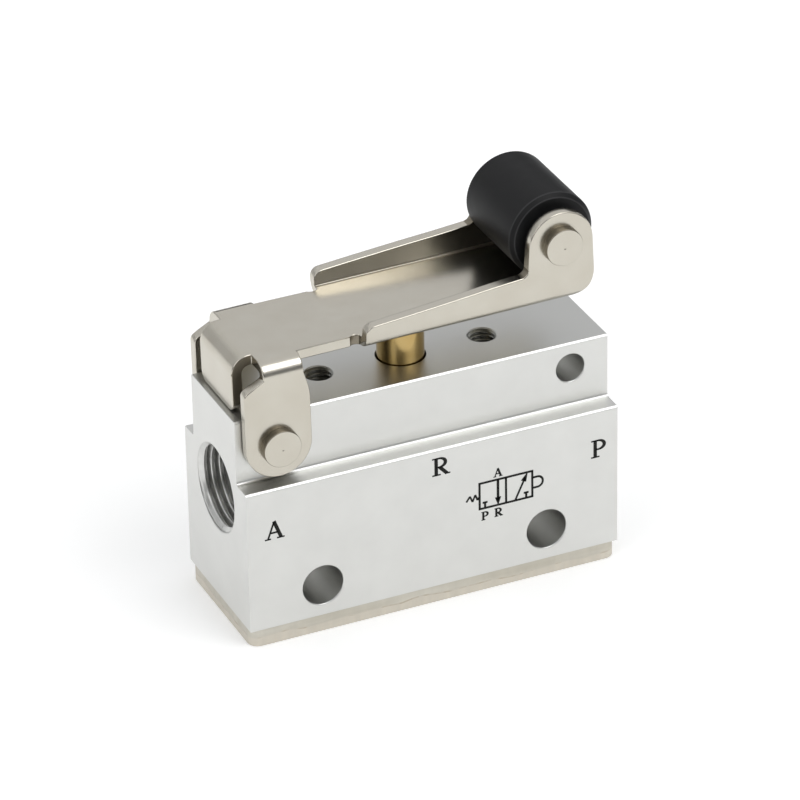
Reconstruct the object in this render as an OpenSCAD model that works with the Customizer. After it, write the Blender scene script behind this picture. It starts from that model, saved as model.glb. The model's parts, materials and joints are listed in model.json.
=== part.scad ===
// Roller lever air valve: a 3/2 spool valve in an aluminium block, worked by a folded sheet lever.
// +X points to the roller, -Y is the front, +Z is up.
// The origin is under the middle of the bottom plate.

/* [Block] */
// Length of the block
body_l = 42; // [40:0.5:50]
// Width of the lower block
body_w = 16.2; // [15.5:0.1:20]
// Width of the ledge on each side of the neck
ledge_w = 2.4; // [1.8:0.1:2.6]
// Height of the block without the bottom plate
body_h = 23.6; // [23:0.1:27]
// Height of the ledge above the block's underside
ledge_h = 16.3; // [15:0.1:16.6]
// Radius of the hollow corner between ledge and neck
ledge_fillet = 0.45; // [0.2:0.05:1.4]
// Bevel along the long edges
edge_bevel = 0.2; // [0.1:0.05:0.5]

/* [Bottom plate] */
// Thickness of the bottom plate
plate_t = 2; // [1.6:0.1:3]
// How far the plate stays inside the block's outline
plate_inset = 0.1; // [0.05:0.05:0.6]
// Corner radius of the plate
plate_corner = 1.2; // [0.5:0.1:2.5]
// Thread diameter of the plate screws
screw_d = 2.5; // [2:0.1:2.6]
// Head diameter of the plate screws
screw_head_d = 4.7; // [4:0.1:5]
// Length of the plate screws
screw_l = 7; // [5:0.5:8]
// Distance of the screws from the block's ends
screw_end_gap = 3.4; // [3:0.1:3.6]
// Distance of the screws from the block's sides
screw_side_gap = 3; // [2.8:0.1:3.4]
// Across flats of the screws' hexagon socket
screw_socket = 1.5; // [1.3:0.1:1.8]

/* [Ports and mounting holes] */
// Thread diameter of the two ports
port_d = 9.73; // [8:0.01:9.8]
// Depth of the ports' walls
port_depth = 8.5; // [6:0.1:9]
// Point angle of the drill that opened the blind holes
drill_angle = 118; // [90:1:140]
// Height of the port axis above the block's underside
port_h = 13; // [12.6:0.1:13.2]
// Drilled passage from each port to the valve bore
passage_d = 1.6; // [1:0.1:1.7]
// Diameter of the front mounting holes
mount_d = 4.5; // [3.2:0.1:4.6]
// Distance between the front mounting holes
mount_pitch = 25.5; // [24:0.5:26]
// Height of the front mounting holes above the block's underside
mount_h = 3.55; // [3:0.05:4.2]
// Diameter of the tapped holes in the top
top_hole_d = 3; // [2.5:0.1:3.2]
// Distance between the tapped holes in the top
top_hole_pitch = 18.5; // [17:0.5:20]
// Depth of the tapped holes in the top
top_hole_depth = 6; // [4:0.5:6.5]
// Bevel at the mouth of the drilled holes
hole_bevel = 0.1; // [0.05:0.05:0.3]

/* [Lever] */
// Distance of the cross holes for the pivot from the block's ends
pivot_end_gap = 4.3; // [4:0.1:5]
// Depth of the pivot axis below the block's top
pivot_drop = 2.95; // [2.6:0.05:3.1]
// Diameter of the cross holes
pivot_hole_d = 3.2; // [2.6:0.1:3.4]
// Thickness of the lever sheet
sheet_t = 1.2; // [0.8:0.1:1.4]
// Inside radius of the ear and flange bends
bend_r = 0.2; // [0.1:0.05:0.5]
// Outside radius of the ear and flange bends
bend_out = 1.7; // [1.5:0.1:2]
// Clearance between the neck and each ear
ear_gap = 0.25; // [0.15:0.05:0.4]
// Radius of the round ear ends
ear_r = 3.6; // [3.2:0.05:3.8]
// Height of the ears' back shoulder above the pivot
shoulder_h = 6.6; // [5.5:0.05:6.8]
// Rounding of the back shoulder
shoulder_round = 0.8; // [0.3:0.1:1.2]
// Height above the pivot at which the ears' front side starts to taper
taper_h = 5.6; // [4:0.1:6]
// Rounding of the front side where its taper starts
taper_round = 6; // [2:0.5:8]
// Ear bend: reach from the pivot towards the end tab
strip_back = 1.4; // [1.3:0.1:1.8]
// Ear bend: reach from the pivot towards the roller
strip_front = 3; // [2:0.1:3.2]
// Height of the web's underside above the pivot
web_h = 8.25; // [8:0.05:10]
// Angle at which the resting lever rises to the roller
rest_angle = 0.8; // [0:0.1:1.5]
// Width of the folded end tab
tab_w = 8.3; // [6:0.1:9]
// Distance from the pivot back to the end tab's outer face
tab_reach = 3.7; // [3.4:0.05:4.2]
// Inside radius of the end tab's bend
tab_bend_r = 0.8; // [0.5:0.1:0.8]
// Radius of the end tab's lower corners
tab_corner = 1.2; // [0.5:0.1:2]
// Gap between the resting end tab and the block's top
tab_gap = 0.1; // [0.05:0.05:0.4]
// Distance from the pivot to the start of the flanges
flange_start = 9.95; // [8:0.05:11]
// Flange height at its start, from the web's underside
flange_h_start = 2.75; // [2.7:0.05:4]
// Flange height at the roller ear, from the web's underside
flange_h_end = 4.05; // [3.4:0.05:5]
// Corner radius of the flanges' start
flange_corner = 1; // [0.5:0.1:1.4]
// Width of the relief cut before the flanges
relief_w = 1.1; // [0.6:0.1:1.4]
// Depth of the relief cut into the web
relief_depth = 0.25; // [0.15:0.05:0.3]
// Distance of the roller axle from the pivot along the lever
axle_reach = 31.9; // [30:0.1:34]
// Height of the roller axle above the pivot
axle_h = 15.15; // [14.8:0.05:18]
// Radius of the roller ears
roller_ear_r = 3.6; // [3.4:0.05:4.4]
// How far each side of a roller ear flares out towards its foot
ear_flare = 0.2; // [0.05:0.05:0.5]
// Rounding of the roller ears' foot
toe_r = 3.2; // [1.5:0.1:3.6]
// Fillet between the flange and the roller ear
ear_fillet = 0.8; // [0.3:0.1:1.2]

/* [Roller and pins] */
// Diameter of the roller
roller_d = 9.4; // [8:0.1:9.8]
// Bevel at the roller's rims
roller_bevel = 0.45; // [0.1:0.05:0.8]
// Side play of the roller between its ears
roller_play = 1.05; // [0.4:0.05:2]
// Gap left to the back ear, against which the roller lies
roller_back_gap = 0.1; // [0.05:0.05:0.3]
// Shank diameter of the roller axle
axle_d = 3.1; // [2.6:0.1:3.4]
// Head diameter of both pins
pin_head_d = 4.1; // [3.8:0.1:5]
// Head height of both pins
pin_head_t = 0.9; // [0.4:0.05:1.2]
// Bevel on the pin heads
pin_bevel = 0.2; // [0.05:0.05:0.3]
// Running clearance, in radius, of the pivot and the roller
run_gap = 0.05; // [0.02:0.01:0.1]
// Clearance, in radius, of pieces that are fitted and stay
fit_gap = 0.02; // [0.01:0.005:0.03]

/* [Valve] */
// Diameter of the visible plunger
plunger_d = 5; // [4:0.1:5]
// Diameter of the hole round the plunger, which also vents
plunger_hole_d = 5.3; // [5.2:0.05:6]
// Radius of the plunger's domed top
dome_r = 6; // [5:0.5:10]
// Gap between the plunger's dome and the resting lever
dome_gap = 0.05; // [0.02:0.01:0.2]
// Travel of the spool
travel = 2.2; // [1.5:0.1:2.3]
// Diameter of the valve bore in the block
bore_d = 9; // [9:0.1:9.4]
// Bore of the sleeves that the spool seals in
sleeve_d = 6; // [5.9:0.05:6.1]
// Inside diameter of the cages and the exhaust chamber
chamber_d = 7.4; // [7:0.1:7.6]
// Length of the lower sleeve
lower_sleeve_l = 7.8; // [7.6:0.1:8]
// Length of the inlet cage
inlet_cage_l = 2.3; // [2.2:0.1:2.5]
// Length of the supply seat
supply_seat_l = 1.8; // [1.6:0.1:2]
// Length of the outlet cage
outlet_cage_l = 1.8; // [1.7:0.1:2]
// Length of the upper sleeve
upper_sleeve_l = 5.1; // [4.9:0.1:5.4]
// Length of the upper sleeve's seat
upper_seat_l = 1.5; // [1.4:0.1:1.6]
// Windows in each cage
cage_windows = 4; // [3:1:6]
// Diameter of the cage windows
window_d = 1.4; // [0.8:0.1:1.5]
// Section diameter of the spool's O-rings
spool_ring_cs = 1; // [0.8:0.05:1.1]
// Section diameter of the sleeves' O-rings
sleeve_ring_cs = 0.9; // [0.8:0.05:1]
// Section diameter of the plate's O-ring
plate_ring_cs = 1; // [0.8:0.05:1.2]
// Width of an O-ring groove beyond the ring's section
groove_play = 0.15; // [0.05:0.05:0.2]
// Wall of the spool lands beside each groove
land_wall = 0.5; // [0.3:0.05:0.5]
// Clearance, in radius, of the spool lands in the sleeves
land_gap = 0.1; // [0.05:0.01:0.15]
// Diameter of the spool's stem between the lands
stem_d = 3.4; // [2.8:0.1:3.6]
// Length of the spool's tail, which guides the spring
tail_l = 1.5; // [1:0.1:2]
// Depth of the lowest spool O-ring below the lower sleeve's top
lower_ring_depth = 0.9; // [0.8:0.05:1.2]
// Depth of the spring's pocket in the plate
spring_pocket = 0.5; // [0.3:0.1:0.8]
// Wire diameter of the return spring
spring_wire = 0.6; // [0.4:0.05:0.6]
// Mean diameter of the return spring
spring_d = 4.6; // [4.4:0.1:4.8]
// Turns of the return spring
spring_turns = 5.5; // [4:0.5:6]

/* [Hidden] */
$fn = 64;

// Length by which a cut runs past the face it opens in
past = 0.5;
// Both sides of a mirrored pair
sides = [-1, 1];

// Heights and widths in the assembly
neck_w = body_w - 2 * ledge_w;
top_z = plate_t + body_h;
port_z = plate_t + port_h;
mount_z = plate_t + mount_h;
pivot_x = body_l / 2 - pivot_end_gap;
pivot_z = top_z - pivot_drop;

// Stack of sleeves and cages, from the plate up
inlet_z = plate_t + lower_sleeve_l;
seat_z = inlet_z + inlet_cage_l;
outlet_z = seat_z + supply_seat_l;
upper_z = outlet_z + outlet_cage_l;
bore_top_z = upper_z + upper_sleeve_l;
chamber_z = upper_z + upper_seat_l;

// Static O-rings sit in the middle of what they seal
lower_ring_z = inlet_z - sleeve_ring_cs - 2 * land_wall;
seat_ring_z = seat_z + supply_seat_l / 2;
upper_ring_z = upper_z + upper_seat_l / 2;
sleeve_od = bore_d - 2 * fit_gap;
sleeve_groove_w = sleeve_ring_cs + groove_play;
sleeve_root_d = bore_d - 2 * sleeve_ring_cs - 4 * fit_gap;
plate_ring_od = bore_d + 2 * plate_ring_cs + 2 * fit_gap;

// Spool at rest: the supply ring closes its seat, the exhaust ring stands above its seat
supply_ring_z = seat_z + supply_seat_l / 2;
exhaust_ring_z = upper_z + upper_seat_l / 2 + travel;
lower_spool_ring_z = inlet_z - lower_ring_depth;
land_d = sleeve_d - 2 * land_gap;
groove_w = spool_ring_cs + groove_play;
land_l = groove_w + 2 * land_wall;
ring_od = sleeve_d - 2 * run_gap;
root_d = ring_od - 2 * spool_ring_cs - 2 * fit_gap;
spool_foot_z = lower_spool_ring_z - land_l / 2;

// Lever sheet, measured from the pivot axis
half_in = neck_w / 2 + ear_gap;
half_out = half_in + sheet_t;
tab_bend_out = tab_bend_r + sheet_t;
web_top = web_h + sheet_t;
flat_half = half_out - bend_out;
bend_line = web_top - bend_out;
tab_foot = (pivot_drop + tab_gap + tab_reach * sin(rest_angle)) / cos(rest_angle);
lever_end = axle_reach + roller_ear_r + ear_flare;
pivot_shank_d = pivot_hole_d - 2 * run_gap;

// Plunger dome under the lever's web
web_over_plunger = pivot_z + web_h / cos(rest_angle) + pivot_x * tan(rest_angle);
dome_z = web_over_plunger - (dome_r + dome_gap) / cos(rest_angle);
dome_edge_z = dome_z + sqrt(pow(dome_r, 2) - pow(plunger_d / 2, 2));

// Shapes that repeat

// A rod along X, centred on the origin
module rod_x(d, l) rotate([0, 90, 0]) cylinder(d = d, h = l, center = true);

// A rod along Y, centred on the origin
module rod_y(d, l) rotate([90, 0, 0]) cylinder(d = d, h = l, center = true);

// A profile in the YZ plane carried along X from a to b
module along_x(a, b) translate([a, 0, 0]) rotate([90, 0, 90]) linear_extrude(b - a) children();

// A profile in the XZ plane carried along Y to both sides of the middle
module along_y(w) rotate([90, 0, 0]) linear_extrude(w, center = true) children();

// A unit vector along v
function unit(v) = v / norm(v);

// Half the angle at p between the sides to a and b
function half_angle(a, p, b) = acos(unit(a - p) * unit(b - p)) / 2;

// The corner at p between the sides to a and b, cut back to the start, centre and end of an arc of radius r
function arc_points(a, p, b, r) = let (half = half_angle(a, p, b), back = r / tan(half))
  [p + unit(a - p) * back, p + unit(unit(a - p) + unit(b - p)) * r / sin(half), p + unit(b - p) * back];

// The part of a disc of radius r that lies in the corner at p, cut back to the points of its arc
module corner_disc(p, arc, r) intersection() {
  translate(arc[1]) circle(r = r);
  polygon([arc[0], p, arc[2], arc[1]]);
}

// An outline through corners [x, y, rounding], which go round to the left
module rounded_outline(corners) {
  last = len(corners) - 1;
  spots = [for (c = corners) [c[0], c[1]]];
  before = [for (i = [0:last]) spots[i > 0 ? i - 1 : last]];
  after = [for (i = [0:last]) spots[i < last ? i + 1 : 0]];
  arcs = [for (i = [0:last])
    corners[i][2] > 0 ? arc_points(before[i], spots[i], after[i], corners[i][2]) : []];
  left = [for (i = [0:last]) cross(spots[i] - before[i], after[i] - spots[i]) > 0];
  steps = [for (i = [0:last]) corners[i][2] == 0 ? [spots[i]] : left[i] ? [arcs[i][0], arcs[i][2]] : arcs[i]];
  difference() {
    union() {
      polygon([for (i = [0:last], p = steps[i]) p]);
      for (i = [0:last]) if (corners[i][2] > 0 && left[i]) corner_disc(spots[i], arcs[i], corners[i][2]);
    }
    for (i = [0:last]) if (corners[i][2] > 0 && !left[i]) corner_disc(spots[i], arcs[i], corners[i][2]);
  }
}

// A ring from z0 to z1
module tube(z0, z1, od, id) translate([0, 0, z0]) difference() {
  cylinder(d = od, h = z1 - z0);
  translate([0, 0, -past]) cylinder(d = id, h = z1 - z0 + 2 * past);
}

// An O-ring of outside diameter od and section cs, with its middle at z
module o_ring(z, od, cs) color("dimgray") translate([0, 0, z])
  rotate_extrude() translate([(od - cs) / 2, 0]) circle(d = cs, $fn = 24);

// A groove for a static O-ring at z, cut into a sleeve from outside
module sleeve_groove(z)
  tube(z - sleeve_groove_w / 2, z + sleeve_groove_w / 2, bore_d + past, sleeve_root_d);

// A drilled hole along Y through width w, with a bevelled mouth on both sides
module cross_hole(d, w) {
  rod_y(d, w + 2 * past);
  for (s = sides) translate([0, s * (w / 2 + past), 0])
    rotate([90 * s, 0, 0]) cylinder(d1 = d + 2 * hole_bevel + 2 * past, d2 = d, h = hole_bevel + past);
}

// A blind hole from the plane z = 0 down to depth, with the drill's cone below it
module blind_hole(d, depth) rotate_extrude()
  polygon([[0, -depth - d / 2 / tan(drill_angle / 2)], [d / 2, -depth], [d / 2, past], [0, past]]);

// A blind hole with a bevelled mouth
module top_hole(d, depth) {
  blind_hole(d, depth);
  translate([0, 0, -hole_bevel]) cylinder(d1 = d, d2 = d + 2 * hole_bevel + 2 * past, h = hole_bevel + past);
}

// A pin along Y with a bevelled head outside each ear
module headed_pin(shank_d) {
  half = [[0, half_out + pin_head_t], [pin_head_d / 2 - pin_bevel, half_out + pin_head_t],
    [pin_head_d / 2, half_out + pin_head_t - pin_bevel], [pin_head_d / 2, half_out], [shank_d / 2, half_out]];
  other = [for (i = [len(half) - 1:-1:0]) [half[i][0], -half[i][1]]];
  rotate([90, 0, 0]) rotate_extrude() polygon(concat(half, other));
}

// Places children at the four plate screws
module at_screws() for (sx = sides, sy = sides)
  translate([sx * (body_l / 2 - screw_end_gap), sy * (body_w / 2 - screw_side_gap), 0]) children();

// Puts children, drawn from the pivot axis, on the resting lever
module on_lever() translate([-pivot_x, 0, pivot_z]) rotate([0, -rest_angle, 0]) children();

// Block

// End view of the extruded block: lower block, hollow corners, neck
module block_profile() {
  half = [[body_w / 2, 0, 0], [body_w / 2, ledge_h - edge_bevel, 0], [body_w / 2 - edge_bevel, ledge_h, 0],
    [neck_w / 2, ledge_h, ledge_fillet], [neck_w / 2, body_h - edge_bevel, 0],
    [neck_w / 2 - edge_bevel, body_h, 0]];
  other = [for (i = [len(half) - 1:-1:0]) [-half[i][0], half[i][1], half[i][2]]];
  rounded_outline(concat(half, other));
}

// A port at the block's end on side s, with its passage at height z to the valve bore
module port(s, z) {
  translate([s * body_l / 2, 0, port_z]) rotate([0, s * 90, 0]) blind_hole(port_d, port_depth);
  passage_l = body_l / 2 - port_depth + past;
  translate([s * passage_l / 2, 0, z]) rod_x(passage_d, passage_l);
}

module valve_body() color("gainsboro") difference() {
  translate([0, 0, plate_t]) along_x(-body_l / 2, body_l / 2) block_profile();
  port(-1, outlet_z + outlet_cage_l / 2);
  port(1, inlet_z + inlet_cage_l / 2);
  translate([0, 0, plate_t - past]) cylinder(d = bore_d, h = bore_top_z - plate_t + past);
  translate([0, 0, plate_t - past]) cylinder(d = plate_ring_od + 2 * fit_gap, h = plate_ring_cs + past);
  translate([0, 0, bore_top_z - past]) cylinder(d = plunger_hole_d, h = top_z - bore_top_z + 2 * past);
  for (s = sides) {
    translate([s * mount_pitch / 2, 0, mount_z]) cross_hole(mount_d, body_w);
    translate([s * pivot_x, 0, pivot_z]) cross_hole(pivot_hole_d, neck_w);
    translate([s * top_hole_pitch / 2, 0, top_z]) top_hole(top_hole_d, top_hole_depth);
  }
  at_screws() translate([0, 0, plate_t - past])
    cylinder(d = screw_d + 2 * fit_gap, h = screw_l - plate_t + 2 * past);
}

// Bottom plate and its fasteners

module bottom_plate() color("darkkhaki") difference() {
  half_l = body_l / 2 - plate_inset;
  half_w = body_w / 2 - plate_inset;
  linear_extrude(plate_t) rounded_outline([[-half_l, -half_w, plate_corner], [half_l, -half_w, plate_corner],
    [half_l, half_w, plate_corner], [-half_l, half_w, plate_corner]]);
  translate([0, 0, plate_t - spring_pocket])
    cylinder(d = spring_d + spring_wire + 2 * run_gap, h = spring_pocket + past);
  at_screws() screw_body(fit_gap, past);
}

// A countersunk screw grown by gap all round, reaching beyond its head by over
module screw_body(gap, over) {
  sink = (screw_head_d - screw_d) / 2;
  translate([0, 0, -over]) cylinder(d = screw_head_d + 2 * gap, h = over + fit_gap);
  translate([0, 0, fit_gap]) cylinder(d1 = screw_head_d + 2 * gap, d2 = screw_d + 2 * gap, h = sink);
  translate([0, 0, fit_gap]) cylinder(d = screw_d + 2 * gap, h = screw_l - fit_gap + gap);
}

module plate_screws() color("silver") at_screws() difference() {
  screw_body(0, 0);
  translate([0, 0, -past]) cylinder(d = screw_socket / cos(30), h = screw_socket / 2 + past, $fn = 6);
}

module plate_o_ring() o_ring(plate_t + plate_ring_cs / 2, plate_ring_od, plate_ring_cs);

// Sleeves, cages and their seals

module lower_sleeve() color("darkgoldenrod") difference() {
  tube(plate_t, inlet_z, sleeve_od, sleeve_d);
  sleeve_groove(lower_ring_z);
}

module supply_seat() color("darkgoldenrod") difference() {
  tube(seat_z, outlet_z, sleeve_od, sleeve_d);
  sleeve_groove(seat_ring_z);
}

module upper_sleeve() color("darkgoldenrod") difference() {
  tube(upper_z, bore_top_z, sleeve_od, sleeve_d);
  translate([0, 0, chamber_z]) cylinder(d = chamber_d, h = bore_top_z - chamber_z + past);
  sleeve_groove(upper_ring_z);
}

// A ring with round windows from z0 to z1
module cage(z0, z1) color("burlywood") difference() {
  tube(z0, z1, sleeve_od, chamber_d);
  for (i = [0:cage_windows - 1]) rotate([0, 0, i * 360 / cage_windows])
    translate([bore_d / 2, 0, (z0 + z1) / 2]) rod_x(window_d, bore_d - stem_d);
}

module inlet_cage() cage(inlet_z, seat_z);
module outlet_cage() cage(outlet_z, upper_z);

module lower_sleeve_o_ring() o_ring(lower_ring_z, bore_d - 2 * fit_gap, sleeve_ring_cs);
module supply_seat_o_ring() o_ring(seat_ring_z, bore_d - 2 * fit_gap, sleeve_ring_cs);
module upper_sleeve_o_ring() o_ring(upper_ring_z, bore_d - 2 * fit_gap, sleeve_ring_cs);

// Spool with its seals and spring

// Half section of one spool land with its groove, from below to above, around height z
function land(z) = [[stem_d / 2, z - land_l / 2], [land_d / 2, z - land_l / 2],
  [land_d / 2, z - groove_w / 2], [root_d / 2, z - groove_w / 2],
  [root_d / 2, z + groove_w / 2], [land_d / 2, z + groove_w / 2],
  [land_d / 2, z + land_l / 2], [stem_d / 2, z + land_l / 2]];

module plunger_spool() color("goldenrod") rotate_extrude() {
  plunger_foot = exhaust_ring_z + land_l / 2;
  polygon(concat([[0, spool_foot_z - tail_l], [stem_d / 2, spool_foot_z - tail_l]], land(lower_spool_ring_z),
    land(supply_ring_z), land(exhaust_ring_z),
    [[plunger_d / 2, plunger_foot], [plunger_d / 2, dome_edge_z], [0, dome_edge_z]]));
  intersection() {
    translate([0, dome_z]) circle(r = dome_r);
    translate([0, plunger_foot]) square([plunger_d / 2, dome_z + dome_r - plunger_foot]);
  }
}

module lower_spool_o_ring() o_ring(lower_spool_ring_z, ring_od, spool_ring_cs);
module supply_o_ring() o_ring(supply_ring_z, ring_od, spool_ring_cs);
module exhaust_o_ring() o_ring(exhaust_ring_z, ring_od, spool_ring_cs);

// A coil of round wire swept as one closed tube between the plate's pocket and the spool's lowest land
module return_spring() {
  ring_steps = 18;
  wire_sides = 8;
  lower = plate_t - spring_pocket + spring_wire / 2 + fit_gap;
  upper = spool_foot_z - spring_wire / 2 - fit_gap;
  last = ceil(spring_turns * ring_steps);
  points = [for (i = [0:last], k = [0:wire_sides - 1])
    let (turn = 360 * spring_turns * i / last, around = 360 * k / wire_sides,
      r = spring_d / 2 + spring_wire / 2 * cos(around))
    [r * cos(turn), r * sin(turn), lower + (upper - lower) * i / last + spring_wire / 2 * sin(around)]];
  walls = [for (i = [0:last - 1], k = [0:wire_sides - 1])
    let (a = i * wire_sides + k, b = i * wire_sides + (k + 1) % wire_sides)
    [a, a + wire_sides, b + wire_sides, b]];
  start = [for (k = [0:wire_sides - 1]) k];
  end = [for (k = [wire_sides - 1:-1:0]) last * wire_sides + k];
  color("lightsteelblue") polyhedron(points, concat([start], walls, [end]));
}

// Lever, drawn from the pivot axis: X along the lever, Z up

// A quarter of a bend of the sheet, round the origin, with its outside down and to the right.
// The inside of the sheet meets in a corner of radius inner.
module bend_quarter(inner, outer) intersection() {
  corner = outer - sheet_t;
  difference() {
    circle(r = outer);
    rounded_outline([[-past, -corner, 0], [corner, -corner, inner], [corner, past, 0], [-past, past, 0]]);
  }
  translate([0, -outer]) square(outer);
}

// End view of the channel: web, bends and upright flanges that rise beyond the bends
module channel_section(rise) {
  translate([-flat_half, web_h]) square([2 * flat_half, sheet_t]);
  for (s = [0, 1]) mirror([s, 0]) {
    translate([flat_half, web_h + bend_out]) bend_quarter(bend_r, bend_out);
    translate([half_in, web_h + bend_out]) square([sheet_t, rise]);
  }
}

// The same section with its flanges turned down, for the ears
module saddle_section() translate([0, web_h + web_top]) mirror([0, 1])
  channel_section(bend_line + ear_r + past);

// Side view of the flanges and roller ears
module flange_outline() {
  ear_back = axle_reach - roller_ear_r - ear_flare;
  rounded_outline([[flange_start, web_h, 0], [lever_end, web_h, toe_r],
    [axle_reach + roller_ear_r, axle_h, 0], [axle_reach - roller_ear_r, axle_h, 0],
    [ear_back, web_h + flange_h_end, ear_fillet],
    [flange_start, web_h + flange_h_start, flange_corner]]);
  translate([axle_reach, axle_h]) circle(r = roller_ear_r);
}

// Side view of an ear: round end at the pivot, back shoulder, tapered front side, bend strip
module ear_outline() {
  circle(r = ear_r);
  rounded_outline([[-ear_r, 0, 0], [ear_r, 0, 0], [ear_r, taper_h, taper_round], [strip_front, bend_line, 0],
    [strip_front, web_top, 0], [-strip_back, web_top, 0], [-strip_back, bend_line, 0],
    [-ear_r, shoulder_h, shoulder_round]]);
}

// Side view of the end tab with its bend and the web behind it
module tab_section() {
  translate([-tab_reach, tab_foot]) square([sheet_t, web_top - tab_bend_out - tab_foot]);
  translate([tab_bend_out - tab_reach, web_top - tab_bend_out]) rotate(180)
    bend_quarter(tab_bend_r, tab_bend_out);
  translate([tab_bend_out - tab_reach, web_h]) square([flange_start + tab_reach - tab_bend_out, sheet_t]);
}

// End view of the end tab, with rounded lower corners
module tab_outline() rounded_outline([[-tab_w / 2, tab_foot, tab_corner], [tab_w / 2, tab_foot, tab_corner],
  [tab_w / 2, web_top, 0], [-tab_w / 2, web_top, 0]]);

// Top view of the web between the ears and the flanges, with a shallow round relief before each flange
module web_plan() difference() {
  relief_r = (pow(relief_w / 2, 2) + pow(relief_depth, 2)) / (2 * relief_depth);
  translate([strip_front, -flat_half]) square([flange_start - strip_front, 2 * flat_half]);
  for (s = sides) translate([flange_start - relief_w / 2, s * (flat_half + relief_r - relief_depth)])
    circle(r = relief_r);
}

module lever() color("tan") on_lever() difference() {
  union() {
    intersection() {
      along_x(flange_start, lever_end) channel_section(axle_h + roller_ear_r - web_h);
      along_y(2 * half_out) flange_outline();
    }
    intersection() {
      along_x(-ear_r, ear_r) saddle_section();
      along_y(2 * half_out) ear_outline();
    }
    intersection() {
      along_y(tab_w) tab_section();
      along_x(-tab_reach, flange_start) tab_outline();
    }
    translate([0, 0, web_h]) linear_extrude(sheet_t) web_plan();
  }
  rod_y(pivot_shank_d + 2 * fit_gap, 2 * half_out + past);
  translate([axle_reach, 0, axle_h]) rod_y(axle_d + 2 * fit_gap, 2 * half_out + past);
}

module pivot_pin() color("tan") on_lever() headed_pin(pivot_shank_d);

module roller_axle() color("tan") on_lever() translate([axle_reach, 0, axle_h]) headed_pin(axle_d);

// The roller: a bored plastic tread with bevelled rims, lying towards the back ear
module roller() {
  bore_r = axle_d / 2 + run_gap;
  back = half_in - roller_back_gap;
  front = back - 2 * half_in + roller_play;
  rim_r = roller_d / 2 - roller_bevel;
  color("#303030") on_lever() translate([axle_reach, 0, axle_h]) rotate([-90, 0, 0]) rotate_extrude()
    polygon([[bore_r, front], [rim_r, front], [roller_d / 2, front + roller_bevel],
      [roller_d / 2, back - roller_bevel], [rim_r, back], [bore_r, back]]);
}

valve_body();
bottom_plate();
plate_screws();
plate_o_ring();
lower_sleeve();
inlet_cage();
supply_seat();
outlet_cage();
upper_sleeve();
lower_sleeve_o_ring();
supply_seat_o_ring();
upper_sleeve_o_ring();
plunger_spool();
lower_spool_o_ring();
supply_o_ring();
exhaust_o_ring();
return_spring();
lever();
pivot_pin();
roller();
roller_axle();
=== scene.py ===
"""Looks of a small roller lever air valve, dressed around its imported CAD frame.

Lengths are metres, and sizes are written in millimetres times MM.
+X points to the roller, -Y is the printed front, +Z is up.
"""

import json
import math

import bmesh
import bpy
import numpy as np
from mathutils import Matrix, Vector


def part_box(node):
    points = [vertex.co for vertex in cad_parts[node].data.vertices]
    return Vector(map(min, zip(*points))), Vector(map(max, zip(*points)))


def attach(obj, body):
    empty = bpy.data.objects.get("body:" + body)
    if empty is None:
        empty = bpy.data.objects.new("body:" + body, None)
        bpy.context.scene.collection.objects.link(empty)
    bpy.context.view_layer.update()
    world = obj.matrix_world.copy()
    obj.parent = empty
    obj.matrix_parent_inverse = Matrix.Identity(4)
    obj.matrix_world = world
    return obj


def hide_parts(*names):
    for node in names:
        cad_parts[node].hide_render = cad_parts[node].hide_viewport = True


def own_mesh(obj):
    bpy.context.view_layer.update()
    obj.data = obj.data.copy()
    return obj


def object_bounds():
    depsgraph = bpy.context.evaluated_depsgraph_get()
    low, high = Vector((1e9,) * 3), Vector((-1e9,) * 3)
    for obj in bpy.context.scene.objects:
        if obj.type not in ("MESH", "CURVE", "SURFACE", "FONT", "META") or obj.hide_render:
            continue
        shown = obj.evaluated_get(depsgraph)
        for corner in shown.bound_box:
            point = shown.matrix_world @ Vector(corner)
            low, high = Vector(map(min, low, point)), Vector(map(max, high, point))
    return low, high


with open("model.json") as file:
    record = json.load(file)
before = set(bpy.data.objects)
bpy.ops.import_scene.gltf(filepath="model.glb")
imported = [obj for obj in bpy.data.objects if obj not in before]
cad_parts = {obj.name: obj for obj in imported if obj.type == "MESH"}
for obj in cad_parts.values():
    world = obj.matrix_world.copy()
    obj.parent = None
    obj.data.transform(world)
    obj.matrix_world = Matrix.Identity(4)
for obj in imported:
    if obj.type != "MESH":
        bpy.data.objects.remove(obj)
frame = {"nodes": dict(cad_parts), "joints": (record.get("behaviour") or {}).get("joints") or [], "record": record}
cad_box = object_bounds()

MM = 0.001

# Places taken from the frame
body_low, body_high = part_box("valve_body")
lever_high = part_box("lever")[1]
mounts = {mount["name"]: mount for mount in frame["record"]["mounts"]}
joints = {joint["name"]: joint for joint in frame["joints"]}
slot_of = {part["node"]: part["material_slot"] for part in frame["record"]["subparts"]}
body_of = {node: body for body, nodes in frame["record"]["behaviour"]["bodies"].items() for node in nodes}

# Camera, as it stood for the photograph
CAMERA_PLACE = (-0.19300, -0.43559, 0.29118)
CAMERA_TURN_DEGREES = (60.3575, 0.9642, -24.4298)
CAMERA_LENS = 238.24

# Edges: how much the tools and the tumbling drum have taken off
BODY_EDGE = 0.05 * MM
LEVER_EDGE = 0.15 * MM
PLATE_EDGE = 0.10 * MM
PLUNGER_EDGE = 0.06 * MM
# Faces inside a bend narrower than this get painted shade on the lever
CREASE_WIDTH = 0.25 * MM
# Angles between two faces: more makes a sharp edge, more makes a bend hollow, less makes them one face
SHARP_ANGLE = math.radians(28)
HOLLOW_ANGLE = math.radians(3)
FLAT_ANGLE = math.radians(0.5)
# Points nearer than this are one point: in a CAD node's copy, and in a piece that is worked out here
CAD_WELD = 0.002 * MM
PIECE_WELD = 0.0001 * MM
# Notches that the shears left in the lever, whose faces get painted shade, as (x from, x to, |y| from, |y| to) in
# millimetres
LEVER_NOTCHES = ((-20.6, -18.1, 4.1, 5.8), (-8.0, -6.9, 5.1, 5.5))
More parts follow.
